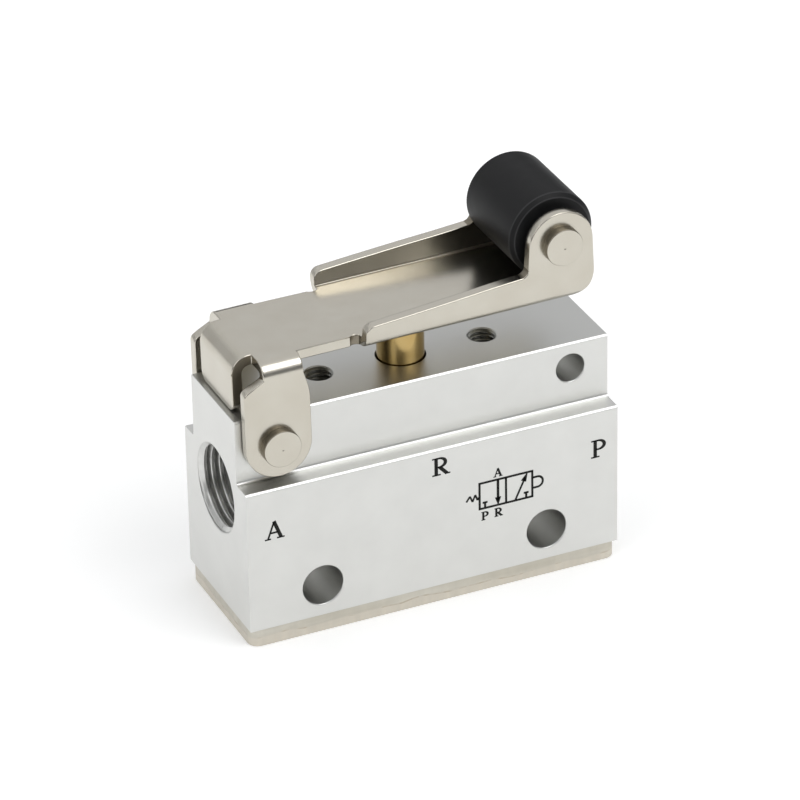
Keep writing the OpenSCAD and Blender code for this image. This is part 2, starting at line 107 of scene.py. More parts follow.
# The lever's web, and its flanges from their free end to the roller ears
WEB_TOP = 32.33 * MM
WEB_SLOPE = math.tan(math.radians(0.8))
FLANGE_FREE_X = -6.9 * MM
FLANGE_HELD_X = 7.0 * MM
FLANGE_NOSE = 1.0 * MM
FLANGE_CUTS = 9
SPRING_BACK = math.radians(5.5)

# Pins and roller, whose profile closes at its seam in the bore
PIN_SHANK_R = 1.55 * MM
PIN_HEAD_ROUND = 0.14 * MM
PIN_SHOULDER_ROUND = 0.04 * MM
# Sides of the pin heads within this of their rim get painted shade
PIN_SHADE_DEPTH = 0.05 * MM
PIN_PIP_R = 0.22 * MM
PIN_PIP_DEPTH = 0.09 * MM
PIN_PIP_ROUND = 0.05 * MM
ROLLER_BORE_R = 1.6 * MM
ROLLER_BEVEL = 0.45 * MM
ROLLER_BACK_BEVEL = 0.2 * MM
ROLLER_EDGE = 0.08 * MM
# Reach of the painted highlight, a paler colour, round both corners of the roller's front bevel
ROLLER_HIGHLIGHT_REACH = 0.1 * MM
ROLLER_SEAM = 0.1 * MM

# Return spring
SPRING_WIRE_R = 0.3 * MM
SPRING_TURNS = 5.5

# Port threads, 28 turns to the inch, which leave the end of the hole uncut, and M3 threads in the top
PORT_PITCH = 0.907 * MM
PORT_CREST_R = 4.283 * MM
PORT_MOUTH_CONE = 0.58 * MM
PORT_UNCUT = 0.6 * MM
TOP_HOLE_X = 9.25 * MM
TOP_HOLE_R = 1.5 * MM
TOP_HOLE_DEPTH = 5.6 * MM
TOP_PITCH = 0.5 * MM
TOP_CREST_R = 1.23 * MM
TOP_MOUTH_CONE = 0.2 * MM
TOP_BEVEL = 0.1 * MM
THREAD_WALL = 0.05 * MM
THREAD_START = 0.01 * MM
# Share of a thread's height that is cut flat at its tips, and turns in which it runs out
THREAD_FLAT = 1 / 8
THREAD_RUN_OUT = 1.5

# Depth below the block's top at which its painted shade has faded out, in millimetres
TOP_SHADE_DEPTH = 0.08

# Ink on the front face
INK_OUT = 0.012 * MM
INK_IN = 0.02 * MM

# Sheared edge of the bottom plate, in millimetres: the line's height, its wander and half its width
SHEAR_LINE = 1.65
SHEAR_WANDER = 1.4
SHEAR_LINE_HALF = 0.08
SHEAR_BLEND = 0.1

# Stage: the paper's glow in the camera and in reflections, and the room's radius in metres
PAPER_GLOW = 0.25
ROOM_R = 1.5

# Sockets of a node that mixes two colours
SHARE, FROM, TO, MIXED = 0, 6, 7, 2


def linear(hex_colour):
    """Linear RGBA of an sRGB hex colour: each channel goes through the sRGB curve."""
    srgb = np.array([int(hex_colour[i:i + 2], 16) for i in (1, 3, 5)]) / 255
    rgb = np.where(srgb <= 0.04045, srgb / 12.92, ((srgb + 0.055) / 1.055) ** 2.4)
    return (float(rgb[0]), float(rgb[1]), float(rgb[2]), 1.0)


def add(tree, kind, inputs=None, **settings):
    """Adds a node with its settings; each input takes a value, or a link from the socket it is given."""
    node = tree.nodes.new("ShaderNode" + kind)
    for name, value in settings.items():
        setattr(node, name, value)
    for name, value in (inputs or {}).items():
        if isinstance(value, bpy.types.NodeSocket):
            tree.links.new(value, node.inputs[name])
        else:
            node.inputs[name].default_value = value
    return node


# Mesh making

def grid_faces(rows, columns, close_rows, close_columns):
    """Quads between neighbours on a grid of points; a closed direction joins its last line to its first."""
    index = np.arange(rows * columns).reshape(rows, columns)
    if close_columns:
        index = np.concatenate([index, index[:, :1]], axis=1)
    if close_rows:
        index = np.concatenate([index, index[:1]], axis=0)
    corners = [index[:-1, :-1], index[:-1, 1:], index[1:, 1:], index[1:, :-1]]
    return np.stack(corners, axis=-1).reshape(-1, 4)


def points_of(mesh):
    """The mesh's points, as rows of an array."""
    places = np.empty(len(mesh.vertices) * 3, np.float32)
    mesh.vertices.foreach_get("co", places)
    return places.reshape(-1, 3)


def smooth_piece(mesh, material, body):
    """A smooth object made of a mesh, which rides on a body and belongs to a material slot."""
    mesh.polygons.foreach_set("use_smooth", np.ones(len(mesh.polygons), bool))
    mesh.materials.append(material)
    piece = bpy.data.objects.new(mesh.name, mesh)
    bpy.context.scene.collection.objects.link(piece)
    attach(piece, body)
    return piece


def make_piece(name, points, faces, material, body):
    """A closed smooth piece from points and faces: doubles are merged, and faces turned outwards."""
    mesh = bpy.data.meshes.new(name)
    mesh.from_pydata(points.reshape(-1, 3).tolist(), [], faces.tolist())
    work = bmesh.new()
    work.from_mesh(mesh)
    bmesh.ops.remove_doubles(work, verts=work.verts, dist=PIECE_WELD)
    bmesh.ops.recalc_face_normals(work, faces=work.faces)
    work.to_mesh(mesh)
    work.free()
    return smooth_piece(mesh, material, body)


def mark_faces(piece, attribute, marked):
    """An attribute that is 1 on a piece's marked faces, else 0; marked tells them from their centres."""
    centres = np.empty(len(piece.data.polygons) * 3, np.float32)
    piece.data.polygons.foreach_get("center", centres)
    layer = piece.data.attributes.new(attribute, "FLOAT", "FACE")
    x, y, z = centres.reshape(-1, 3).T.astype(float)
    layer.data.foreach_set("value", marked(x, y, z).astype(np.float32))


def across(axis):
    """Two unit directions square to the axis and to each other."""
    axis = np.asarray(axis, float)
    helper = np.array([0.0, 0.0, 1.0]) if abs(axis[2]) < 0.9 else np.array([1.0, 0.0, 0.0])
    first = np.cross(axis, helper)
    first = first / np.linalg.norm(first)
    return first, np.cross(axis, first)


def round_corners(corners, steps=6):
    """A profile whose corners (radius, height, rounding) become parabolas tangent to both their sides.

    A point at share s of the rounding is (1 - s)^2 times its start, 2 s (1 - s) times the corner
    and s^2 times its end.
    """
    corners = np.asarray(corners, float)
    place = corners[:, :2]
    share = np.linspace(0, 1, steps)[:, None]
    pieces = [place[:1]]
    for before, corner, after, rounding in zip(place[:-2], place[1:-1], place[2:], corners[1:-1, 2]):
        start = corner + (before - corner) / np.linalg.norm(before - corner) * rounding
        end = corner + (after - corner) / np.linalg.norm(after - corner) * rounding
        pieces.append((1 - share) ** 2 * start + 2 * share * (1 - share) * corner + share ** 2 * end)
    pieces.append(place[-1:])
    return np.concatenate(pieces)


def turned(name, profile, centre, axis, node, material, closed=False, turns=96):
    """Surface of revolution that stands for a CAD node.

    Each (radius, height) of the profile goes once round the axis through the centre:
    point = centre + height * axis + radius * (cosine * first + sine * second).
    """
    first, second = across(axis)
    angle = np.linspace(0, 2 * np.pi, turns, endpoint=False)[None, :, None]
    radius, height = profile[:, 0, None, None], profile[:, 1, None, None]
    points = np.asarray(centre) + height * np.asarray(axis, float) \
        + radius * (np.cos(angle) * first + np.sin(angle) * second)
    faces = grid_faces(len(profile), turns, closed, True)
    piece = make_piece(name, points, faces, material, body_of[node])
    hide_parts(node)
    return piece


def thread_liner(name, mouth, axis, root_r, crest_r, pitch, length, mouth_cone, material, around,
                 per_turn=18):
    """The cut thread of a hole, as a thin sleeve in its wall.

    Going in by depth d and round by turn t, the inner radius is a triangle wave of d / pitch - t between
    crest and root, with its tips cut flat. It fades to the root at the far end, and at the mouth it is
    never less than a 45 degree cone. The outer radius is constant and lies inside the wall.
    """
    first, second = across(axis)
    depth = np.linspace(THREAD_START, length, int(length / pitch * per_turn))
    turn = np.linspace(0, 1, around, endpoint=False)
    phase = (depth[:, None] / pitch - turn[None, :]) % 1.0
    wave = np.clip((1 + 2 * THREAD_FLAT) * (1 - np.abs(2 * phase - 1)) - THREAD_FLAT, 0, 1)
    fade = np.clip((length - depth) / (THREAD_RUN_OUT * pitch), 0, 1)[:, None]
    thread = root_r - (root_r - crest_r) * wave * fade
    cone = root_r + THREAD_WALL / 2 - depth[:, None] * (root_r - crest_r) / mouth_cone
    inner = np.maximum(thread, cone)
    outer = np.full((2, around), root_r + THREAD_WALL)
    radius = np.concatenate([inner, outer])[:, :, None]
    way_in = np.concatenate([depth, [length, depth[2]]])[:, None, None]
    angle = 2 * np.pi * turn[None, :, None]
    points = np.asarray(mouth) - way_in * np.asarray(axis, float) \
        + radius * (np.cos(angle) * first + np.sin(angle) * second)
    faces = grid_faces(len(way_in), around, True, True)
    make_piece(name, points, faces, material, "housing")


def sprung(places):
    """Places on the lever, with its side flanges sprung out a little, as folded sheet does.

    A point that stands h above the web moves outwards by h times the tangent of SPRING_BACK times a share.
    The share is 1 less the square of the way from the flange's free end to where the roller ears hold it.
    """
    x, y, z = places.T
    stands = np.clip(z - WEB_TOP - x * WEB_SLOPE, 0, None) * (x > FLANGE_FREE_X - FLANGE_NOSE)
    way = np.clip((x - FLANGE_FREE_X) / (FLANGE_HELD_X - FLANGE_FREE_X), 0, 1)
    share = 1 - way ** 2
    return np.column_stack([x, y + np.sign(y) * stands * share * math.tan(SPRING_BACK), z])


def softened(node, edge, material, segments=3, notches=(), cuts=(), shape=None):
    """A merged copy of a CAD node, with its sharp edges broken by a live bevel, which stands for it.

    An edge is broken where its faces meet at more than SHARP_ANGLE and both reach further than the bevel.
    The face attribute for painted shade is 1 on the narrow faces inside a bend, whose edges are hollow, and on
    the faces whose centre lies in a notch, and 0 elsewhere. The long faces are cut across at each x in cuts,
    and then shape moves the points.
    """
    source = frame["nodes"][node].data
    source.calc_loop_triangles()
    triangles = np.empty(len(source.loop_triangles) * 3, np.int32)
    source.loop_triangles.foreach_get("vertices", triangles)
    mesh = bpy.data.meshes.new(node + "_finished")
    mesh.from_pydata(points_of(source).tolist(), [], triangles.reshape(-1, 3).tolist())
    work = bmesh.new()
    work.from_mesh(mesh)
    bmesh.ops.remove_doubles(work, verts=work.verts, dist=CAD_WELD)
    bmesh.ops.dissolve_limit(work, angle_limit=FLAT_ANGLE, verts=work.verts, edges=work.edges)
    for x in cuts:
        whole = work.verts[:] + work.edges[:] + work.faces[:]
        bmesh.ops.bisect_plane(work, geom=whole, plane_co=(x, 0, 0), plane_no=(1, 0, 0))
    weight = work.edges.layers.float.new("bevel_weight_edge")
    for line in work.edges:
        reach = min(face.calc_area() for face in line.link_faces) / line.calc_length()
        line[weight] = float(line.calc_face_angle(0) > SHARP_ANGLE and reach > edge)
    # Marks for painted shade: narrow faces inside bends and faces in the notches
    crease_shade = work.faces.layers.float.new("crease_shade")
    for face in work.faces:
        hollow = [line.calc_length() for line in face.edges if line.calc_face_angle_signed(0) < -HOLLOW_ANGLE]
        narrow = bool(hollow) and face.calc_area() / max(hollow) < CREASE_WIDTH
        centre = face.calc_center_median() / MM
        notched = any(x_from < centre.x < x_to and y_from < abs(centre.y) < y_to
                      for x_from, x_to, y_from, y_to in notches)
        face[crease_shade] = float(narrow or notched)
    work.to_mesh(mesh)
    work.free()
    if shape:
        mesh.vertices.foreach_set("co", shape(points_of(mesh)).ravel().astype(np.float32))
    piece = smooth_piece(mesh, material, body_of[node])
    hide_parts(node)
    bevel = piece.modifiers.new("broken edges", "BEVEL")
    bevel.width = edge
    bevel.segments = segments
    bevel.limit_method = "WEIGHT"
    bevel.use_clamp_overlap = False
    flat = piece.modifiers.new("flat faces", "WEIGHTED_NORMAL")
    flat.mode = "FACE_AREA"
    flat.weight = 100


# Materials

def blank_material(name):
    """A new material: its tree, its Principled shader, and Object coordinates turned to millimetres."""
    material = bpy.data.materials.new(name)
    material.use_nodes = True
    tree = material.node_tree
    shader = tree.nodes["Principled BSDF"]
    coordinates = add(tree, "TexCoord")
    position = add(tree, "Mapping", {"Vector": coordinates.outputs["Object"], "Scale": [1 / MM] * 3})
    return material, tree, shader, position.outputs["Vector"]


def clear_anodised_aluminium(top_mm):
    """Extruded aluminium, etched satin and clear anodised.

    The etch spreads every reflection wide, so the block looks an even pale grey. Faint lines run along
    the extrusion, and the oxide clouds the grey a little over a few millimetres. The top at height top_mm
    is painted a little greyer: painted shade of the lever over it.
    """
    material, tree, shader, position = blank_material("clear_anodised_aluminium")
    clouds = add(tree, "TexNoise", {"Vector": position, "Scale": 1 / 4.0, "Detail": 3.0})
    tint = add(tree, "Mix", {SHARE: clouds.outputs["Fac"], FROM: linear("#d3d3d0"), TO: linear("#e0e0dd")},
               data_type="RGBA")
    height = add(tree, "SeparateXYZ", {"Vector": position})
    # Painted shade on the block's top, which lies under the lever
    top_shade = add(tree, "MapRange", {"Value": height.outputs["Z"], "From Min": top_mm - TOP_SHADE_DEPTH,
                                    "From Max": top_mm - TOP_SHADE_DEPTH / 2})
    top_shaded = add(tree, "Mix", {SHARE: top_shade.outputs["Result"], FROM: tint.outputs[MIXED],
                              TO: linear("#cececb")}, data_type="RGBA")
    tree.links.new(top_shaded.outputs[MIXED], shader.inputs["Base Color"])
    shader.inputs["Metallic"].default_value = 1.0
    gloss = add(tree, "MapRange", {"Value": clouds.outputs["Fac"], "To Min": 0.34, "To Max": 0.41})
    tree.links.new(gloss.outputs["Result"], shader.inputs["Roughness"])
    # The etch pits are a few hundredths of a millimetre wide, drawn at 0.2 mm so that they show
    pits = add(tree, "TexNoise", {"Vector": position, "Scale": 1 / 0.2, "Detail": 2.0})
    drawn = add(tree, "Mapping", {"Vector": position, "Scale": (1 / 14.0, 1 / 0.35, 1 / 0.35)})
    lines = add(tree, "TexNoise", {"Vector": drawn.outputs["Vector"], "Scale": 1.0, "Detail": 2.0})
    relief = add(tree, "Math", {0: pits.outputs["Fac"], 1: lines.outputs["Fac"]}, operation="ADD")
    bump = add(tree, "Bump", {"Height": relief.outputs[0], "Strength": 0.35, "Distance": 0.004 * MM})
    tree.links.new(bump.outputs["Normal"], shader.inputs["Normal"])
    return material


def cut_aluminium(name, dark, pale):
    """A thread cut in aluminium, streaked along the tool's path: dark and pale are the ends of its range."""
    material, tree, shader, position = blank_material(name)
    streaks = add(tree, "TexNoise", {"Vector": position, "Scale": 1 / 0.6, "Detail": 3.0})
    tint = add(tree, "Mix", {SHARE: streaks.outputs["Fac"], FROM: linear(dark), TO: linear(pale)},
               data_type="RGBA")
    tree.links.new(tint.outputs[MIXED], shader.inputs["Base Color"])
    shader.inputs["Metallic"].default_value = 1.0
    gloss = add(tree, "MapRange", {"Value": streaks.outputs["Fac"], "To Min": 0.24, "To Max": 0.36})
    tree.links.new(gloss.outputs["Result"], shader.inputs["Roughness"])
    return material


def nickel_plated_steel():
    """Stamped and folded steel with a semi-bright nickel plate.

    Warm grey with soft mirror images that the sheet's slight waves bend, and a fine rolled grain. Where the
    face attribute for painted shade is 1, inside the bends, in the notches and on the pin heads' sides, the
    plate is rougher, and its colour is darkened as painted shade.
    """
    material, tree, shader, position = blank_material("nickel_plated_steel")
    clouds = add(tree, "TexNoise", {"Vector": position, "Scale": 1 / 3.0, "Detail": 4.0})
    tint = add(tree, "Mix", {SHARE: clouds.outputs["Fac"], FROM: linear("#bfb9ac"), TO: linear("#cdc9be")},
               data_type="RGBA")
    # Painted shade: marked faces, inside bends, in notches and on pin heads' sides, take a darker brown grey
    crease_shade = add(tree, "Attribute", attribute_name="crease_shade")
    crease_shaded = add(tree, "Mix", {SHARE: crease_shade.outputs["Fac"], FROM: tint.outputs[MIXED],
                               TO: linear("#8a8375")}, data_type="RGBA")
    tree.links.new(crease_shaded.outputs[MIXED], shader.inputs["Base Color"])
    shader.inputs["Metallic"].default_value = 1.0
    gloss = add(tree, "MapRange", {"Value": clouds.outputs["Fac"], "To Min": 0.18, "To Max": 0.27})
    rough = add(tree, "Math", {0: crease_shade.outputs["Fac"], 1: 0.2, 2: gloss.outputs["Result"]},
                operation="MULTIPLY_ADD")
    tree.links.new(rough.outputs[0], shader.inputs["Roughness"])
    waves = add(tree, "TexNoise", {"Vector": position, "Scale": 1 / 2.5, "Detail": 1.0})
    # The rolled grain is about 0.03 mm wide, drawn at 0.16 mm so that it shows
    grain = add(tree, "TexNoise", {"Vector": position, "Scale": 1 / 0.16, "Detail": 2.0})
    wave_bump = add(tree, "Bump", {"Height": waves.outputs["Fac"], "Strength": 0.4, "Distance": 0.02 * MM})
    bump = add(tree, "Bump", {"Height": grain.outputs["Fac"], "Strength": 0.12, "Distance": 0.002 * MM,
                              "Normal": wave_bump.outputs["Normal"]})
    tree.links.new(bump.outputs["Normal"], shader.inputs["Normal"])
    return material


def dull_nickel_plate(foot_mm):
    """Rolled strip with a thin dull nickel plate, as on the bottom cover: browner, in long soft blotches.

    Its edge was sheared: a smooth band above and a torn, duller one below, with a wavy brown line between
    that breaks off here and there, and with upright streaks. Heights are measured from foot_mm.
    """
    material, tree, shader, position = blank_material("dull_nickel_plate")
    stretched = add(tree, "Mapping", {"Vector": position, "Scale": (1 / 9.0, 1 / 1.2, 1 / 0.9)})
    blotches = add(tree, "TexNoise", {"Vector": stretched.outputs["Vector"], "Scale": 1.0, "Detail": 3.0})
    tint = add(tree, "Mix", {SHARE: blotches.outputs["Fac"], FROM: linear("#b7b1a2"), TO: linear("#d4d1c8")},
               data_type="RGBA")
    drift = add(tree, "Mapping", {"Vector": position, "Scale": (1 / 7.0, 1 / 7.0, 1 / 30.0)})
    wander = add(tree, "TexNoise", {"Vector": drift.outputs["Vector"], "Scale": 1.0, "Detail": 2.0})
    height = add(tree, "SeparateXYZ", {"Vector": position})
    above = add(tree, "Math", {0: wander.outputs["Fac"], 1: SHEAR_WANDER, 2: height.outputs["Z"]},
                operation="MULTIPLY_ADD")
    line_mm = foot_mm + SHEAR_LINE
    torn = add(tree, "MapRange", {"Value": above.outputs[0], "From Min": line_mm - SHEAR_BLEND,
                                  "From Max": line_mm + SHEAR_BLEND, "To Min": 1.0, "To Max": 0.0})
    streaked = add(tree, "Mapping", {"Vector": position, "Scale": (1 / 0.9, 1 / 0.9, 1 / 3.0)})
    streaks = add(tree, "TexNoise", {"Vector": streaked.outputs["Vector"], "Scale": 1.0, "Detail": 2.0})
    patchy = add(tree, "Math", {0: streaks.outputs["Fac"], 1: blotches.outputs["Fac"]}, operation="MULTIPLY")
    on_line = add(tree, "Math", {0: above.outputs[0], 1: line_mm, 2: SHEAR_LINE_HALF}, operation="COMPARE")
    unbroken = add(tree, "MapRange", {"Value": patchy.outputs[0], "From Min": 0.22, "From Max": 0.34})
    line = add(tree, "Math", {0: on_line.outputs[0], 1: unbroken.outputs["Result"]}, operation="MULTIPLY")
    tear_and_highlight = add(tree, "Mix", {SHARE: torn.outputs["Result"], FROM: tint.outputs[MIXED], TO: linear("#cfc9bd")},
               data_type="RGBA")
    lined = add(tree, "Mix", {SHARE: line.outputs[0], FROM: tear_and_highlight.outputs[MIXED], TO: linear("#b7ad9c")},
                data_type="RGBA")
    shade = add(tree, "MapRange", {"Value": streaks.outputs["Fac"], "From Min": 0.3, "From Max": 0.7,
                                   "To Min": 0.95, "To Max": 1.03})
    sheared = add(tree, "Mix", {SHARE: 1.0, FROM: lined.outputs[MIXED], TO: shade.outputs["Result"]},
                  data_type="RGBA", blend_type="MULTIPLY")
    tree.links.new(sheared.outputs[MIXED], shader.inputs["Base Color"])
    shader.inputs["Metallic"].default_value = 1.0
    gloss = add(tree, "MapRange", {"Value": blotches.outputs["Fac"], "To Min": 0.28, "To Max": 0.40})
    tree.links.new(gloss.outputs["Result"], shader.inputs["Roughness"])
    waves = add(tree, "TexNoise", {"Vector": position, "Scale": 1 / 1.5, "Detail": 2.0})
    bump = add(tree, "Bump", {"Height": waves.outputs["Fac"], "Strength": 0.5, "Distance": 0.012 * MM})
    tree.links.new(bump.outputs["Normal"], shader.inputs["Normal"])
    return material


def turned_brass():
    """Turned brass: warm yellow, with fine rings round the axis that draw reflections into upright bands."""
    material, tree, shader, position = blank_material("turned_brass")
    tarnish = add(tree, "TexNoise", {"Vector": position, "Scale": 1 / 1.8, "Detail": 3.0})
    tint = add(tree, "Mix", {SHARE: tarnish.outputs["Fac"], FROM: linear("#a98c54"), TO: linear("#c9b17b")},
               data_type="RGBA")
    tree.links.new(tint.outputs[MIXED], shader.inputs["Base Color"])
    shader.inputs["Metallic"].default_value = 1.0
    gloss = add(tree, "MapRange", {"Value": tarnish.outputs["Fac"], "To Min": 0.14, "To Max": 0.26})
    tree.links.new(gloss.outputs["Result"], shader.inputs["Roughness"])
    # The feed of the lathe tool is about 0.05 mm, drawn at 0.3 mm so that it shows. A wave has 20 / (2 pi)
    # bands in a unit of its scale
    rings = add(tree, "TexWave", {"Vector": position, "Scale": 2 * math.pi / 20 / 0.3, "Distortion": 0.4,
                                  "Detail": 1.0}, bands_direction="Z")
    bump = add(tree, "Bump", {"Height": rings.outputs["Fac"], "Strength": 0.2, "Distance": 0.004 * MM})
    tree.links.new(bump.outputs["Normal"], shader.inputs["Normal"])
    return material


def moulded_black_plastic():
    """Moulded black acetal: a satin skin with a fine grain, and a paler painted highlight on marked faces."""
    material, tree, shader, position = blank_material("moulded_black_plastic")
    scuffs = add(tree, "TexNoise", {"Vector": position, "Scale": 1 / 1.6, "Detail": 4.0})
    tint = add(tree, "Mix", {SHARE: scuffs.outputs["Fac"], FROM: linear("#131314"), TO: linear("#1a1a1b")},
               data_type="RGBA")
    # Painted highlight: the marked corners of the front rim take a paler grey
    rim_highlight = add(tree, "Attribute", attribute_name="rim_highlight")
    tear_and_highlight = add(tree, "Mix", {SHARE: rim_highlight.outputs["Fac"], FROM: tint.outputs[MIXED], TO: linear("#363637")},
               data_type="RGBA")
    tree.links.new(tear_and_highlight.outputs[MIXED], shader.inputs["Base Color"])
    shader.inputs["IOR"].default_value = 1.48
    shader.inputs["Specular IOR Level"].default_value = 0.22
    gloss = add(tree, "MapRange", {"Value": scuffs.outputs["Fac"], "To Min": 0.42, "To Max": 0.56})
    tree.links.new(gloss.outputs["Result"], shader.inputs["Roughness"])
    grain = add(tree, "TexNoise", {"Vector": position, "Scale": 1 / 0.15, "Detail": 2.0})
    bump = add(tree, "Bump", {"Height": grain.outputs["Fac"], "Strength": 0.3, "Distance": 0.006 * MM})
    tree.links.new(bump.outputs["Normal"], shader.inputs["Normal"])
    return material


def pad_printed_ink():
    """Black pad-printed ink: a thin dry film, a little uneven."""
    material, tree, shader, position = blank_material("pad_printed_ink")
    cover = add(tree, "TexNoise", {"Vector": position, "Scale": 1 / 0.25, "Detail": 2.0})
    tint = add(tree, "Mix", {SHARE: cover.outputs["Fac"], FROM: linear("#161615"), TO: linear("#262623")},
               data_type="RGBA")
    tree.links.new(tint.outputs[MIXED], shader.inputs["Base Color"])
    shader.inputs["Roughness"].default_value = 0.6
    shader.inputs["Specular IOR Level"].default_value = 0.2
    return material


def plain_finish(name, dark, pale, metallic, low_gloss, high_gloss, size_mm):
    """A finish of the inner pieces: two near colours and a roughness that follow clouds of the given size."""
    material, tree, shader, position = blank_material(name)
    clouds = add(tree, "TexNoise", {"Vector": position, "Scale": 1 / size_mm, "Detail": 3.0})
    tint = add(tree, "Mix", {SHARE: clouds.outputs["Fac"], FROM: linear(dark), TO: linear(pale)},
               data_type="RGBA")
    tree.links.new(tint.outputs[MIXED], shader.inputs["Base Color"])
    shader.inputs["Metallic"].default_value = metallic
    gloss = add(tree, "MapRange", {"Value": clouds.outputs["Fac"], "To Min": low_gloss, "To Max": high_gloss})
    tree.links.new(gloss.outputs["Result"], shader.inputs["Roughness"])
    bump = add(tree, "Bump", {"Height": clouds.outputs["Fac"], "Strength": 0.2, "Distance": 0.01 * MM})
    tree.links.new(bump.outputs["Normal"], shader.inputs["Normal"])
    return material


aluminium = clear_anodised_aluminium(body_high.z / MM)
# The port threads were cut before the block was anodised. The small top ones are darker: painted shade in their
# holes
port_metal = cut_aluminium("cut_aluminium", "#c6c6c3", "#dcdcd9")
shaded_tapped_metal = cut_aluminium("shaded_tapped_aluminium", "#82827d", "#a1a19c")
nickel = nickel_plated_steel()
dull_nickel = dull_nickel_plate(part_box("bottom_plate")[0].z / MM)
brass = turned_brass()
black_plastic = moulded_black_plastic()
ink = pad_printed_ink()
# Zinc plate on the plate screws, drawn spring wire, natural acetal cages and black nitrile seals
finish_of_slot = {
    "anodised_aluminium": aluminium,
    "nickel_plate": nickel,
    "brass": brass,
    "roller_plastic": black_plastic,
    "screw_steel": plain_finish("zinc_plated_steel", "#b4b4b6", "#cbccd0", 1.0, 0.25, 0.36, 1.2),
    "spring_steel": plain_finish("drawn_spring_wire", "#86868a", "#a0a0a4", 1.0, 0.28, 0.40, 0.5),
    "acetal": plain_finish("natural_acetal", "#dcd9d0", "#e8e6de", 0.0, 0.35, 0.45, 1.0),
    "nitrile": plain_finish("black_nitrile_rubber", "#1a1a1a", "#242424", 0.0, 0.55, 0.70, 0.6),
}
for node, cad_object in frame["nodes"].items():
    for slot in cad_object.material_slots:
        slot.material = finish_of_slot[slot_of[node]]

# Pieces that the tools and dies have softened
softened("valve_body", BODY_EDGE, aluminium, segments=2)
flange_cuts = np.linspace(FLANGE_FREE_X, FLANGE_HELD_X, FLANGE_CUTS + 1)[1:]
softened("lever", LEVER_EDGE, nickel, notches=LEVER_NOTCHES, cuts=flange_cuts, shape=sprung)
softened("bottom_plate", PLATE_EDGE, dull_nickel)
softened("plunger_spool", PLUNGER_EDGE, brass, segments=2)


def pin_profile(node):
    """Half section of a headed pin: a small lathe pip, a rounded head, the shank, and the same mirrored."""
    low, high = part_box(node)
    end = (high.y - low.y) / 2
    head_r = (high.x - low.x) / 2
    shoulder = lever_high.y
    half = [(0, end - PIN_PIP_DEPTH, 0), (PIN_PIP_R, end, PIN_PIP_ROUND), (head_r, end, PIN_HEAD_ROUND),
            (head_r, shoulder, PIN_SHOULDER_ROUND), (PIN_SHANK_R, shoulder, PIN_SHOULDER_ROUND)]
    other = [(radius, -height, rounding) for radius, height, rounding in reversed(half)]
    return round_corners(half + other)


def headed_pin(node, joint):
    """A turned pin on a joint's axis, whose heads' sides are marked to be darkened as painted shade."""
    centre = joints[joint]["pos_m"]
    low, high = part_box(node)
    shade_r = (high.x - low.x) / 2 - PIN_SHADE_DEPTH
    piece = turned(node + "_turned", pin_profile(node), centre, (0, 1, 0), node, nickel)
    mark_faces(piece, "crease_shade", lambda x, y, z: np.hypot(x - centre[0], z - centre[2]) > shade_r)


headed_pin("pivot_pin", "lever_pivot")
headed_pin("roller_axle", "roller_spin")

roller_low, roller_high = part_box("roller")
roller_r = (roller_high.z - roller_low.z) / 2
roller_profile = round_corners([
    (ROLLER_BORE_R, 0, 0), (ROLLER_BORE_R, roller_low.y, ROLLER_EDGE),
    (roller_r - ROLLER_BEVEL, roller_low.y, ROLLER_EDGE),
    (roller_r, roller_low.y + ROLLER_BEVEL, ROLLER_EDGE),
    (roller_r, roller_high.y - ROLLER_BACK_BEVEL, ROLLER_EDGE),
    (roller_r - ROLLER_BACK_BEVEL, roller_high.y, ROLLER_EDGE),
    (ROLLER_BORE_R, roller_high.y, ROLLER_EDGE), (ROLLER_BORE_R, ROLLER_SEAM, 0)])
roller_centre = joints["roller_spin"]["pos_m"]
roller = turned("roller_moulded", roller_profile, roller_centre, (0, 1, 0), "roller", black_plastic,
                closed=True, turns=128)


def highlit_corner(x, y, z):
    """True for places within the highlight reach of either corner of the roller's front bevel: a painted
    highlight.
    """
    out = np.hypot(x - roller_centre[0], z - roller_centre[2])
    to_tread = np.hypot(out - roller_r, y - roller_low.y - ROLLER_BEVEL)
    to_side = np.hypot(out - roller_r + ROLLER_BEVEL, y - roller_low.y)
    return np.minimum(to_tread, to_side) < ROLLER_HIGHLIGHT_REACH


# A painted highlight on the corners of the roller's front bevel
mark_faces(roller, "rim_highlight", highlit_corner)

# Return spring, which shortens by the plunger's travel
spring_low, spring_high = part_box("return_spring")


def coil(rows=265, sides=10):
    """Points of the spring: a round wire goes up a helix, and its radius falls to nothing at both ends.

    At way w the wire's centre is at turn w * SPRING_TURNS on the coil's mean radius and climbs evenly.
    A point at angle k round the wire is wire radius * cosine k further out and wire radius * sine k higher.
    """
    way = np.concatenate([[0], np.linspace(0, 1, rows), [1]])[:, None]
    wire = np.concatenate([[0], np.full(rows, SPRING_WIRE_R), [0]])[:, None]
    around = np.linspace(0, 2 * np.pi, sides, endpoint=False)[None, :]
    radius = (spring_high.x - spring_low.x) / 2 - SPRING_WIRE_R + wire * np.cos(around)
    climb = spring_high.z - spring_low.z - 2 * SPRING_WIRE_R
    height = spring_low.z + SPRING_WIRE_R + climb * way + wire * np.sin(around)
    turn = 2 * np.pi * SPRING_TURNS * way
    return np.stack([radius * np.cos(turn), radius * np.sin(turn), height], axis=-1)


spring_points = coil()
spring_faces = grid_faces(*spring_points.shape[:2], False, True)
spring_slot = slot_of["return_spring"]
spring = make_piece("return_spring_coiled", spring_points, spring_faces, finish_of_slot[spring_slot],
                    body_of["return_spring"])
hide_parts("return_spring")
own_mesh(spring)

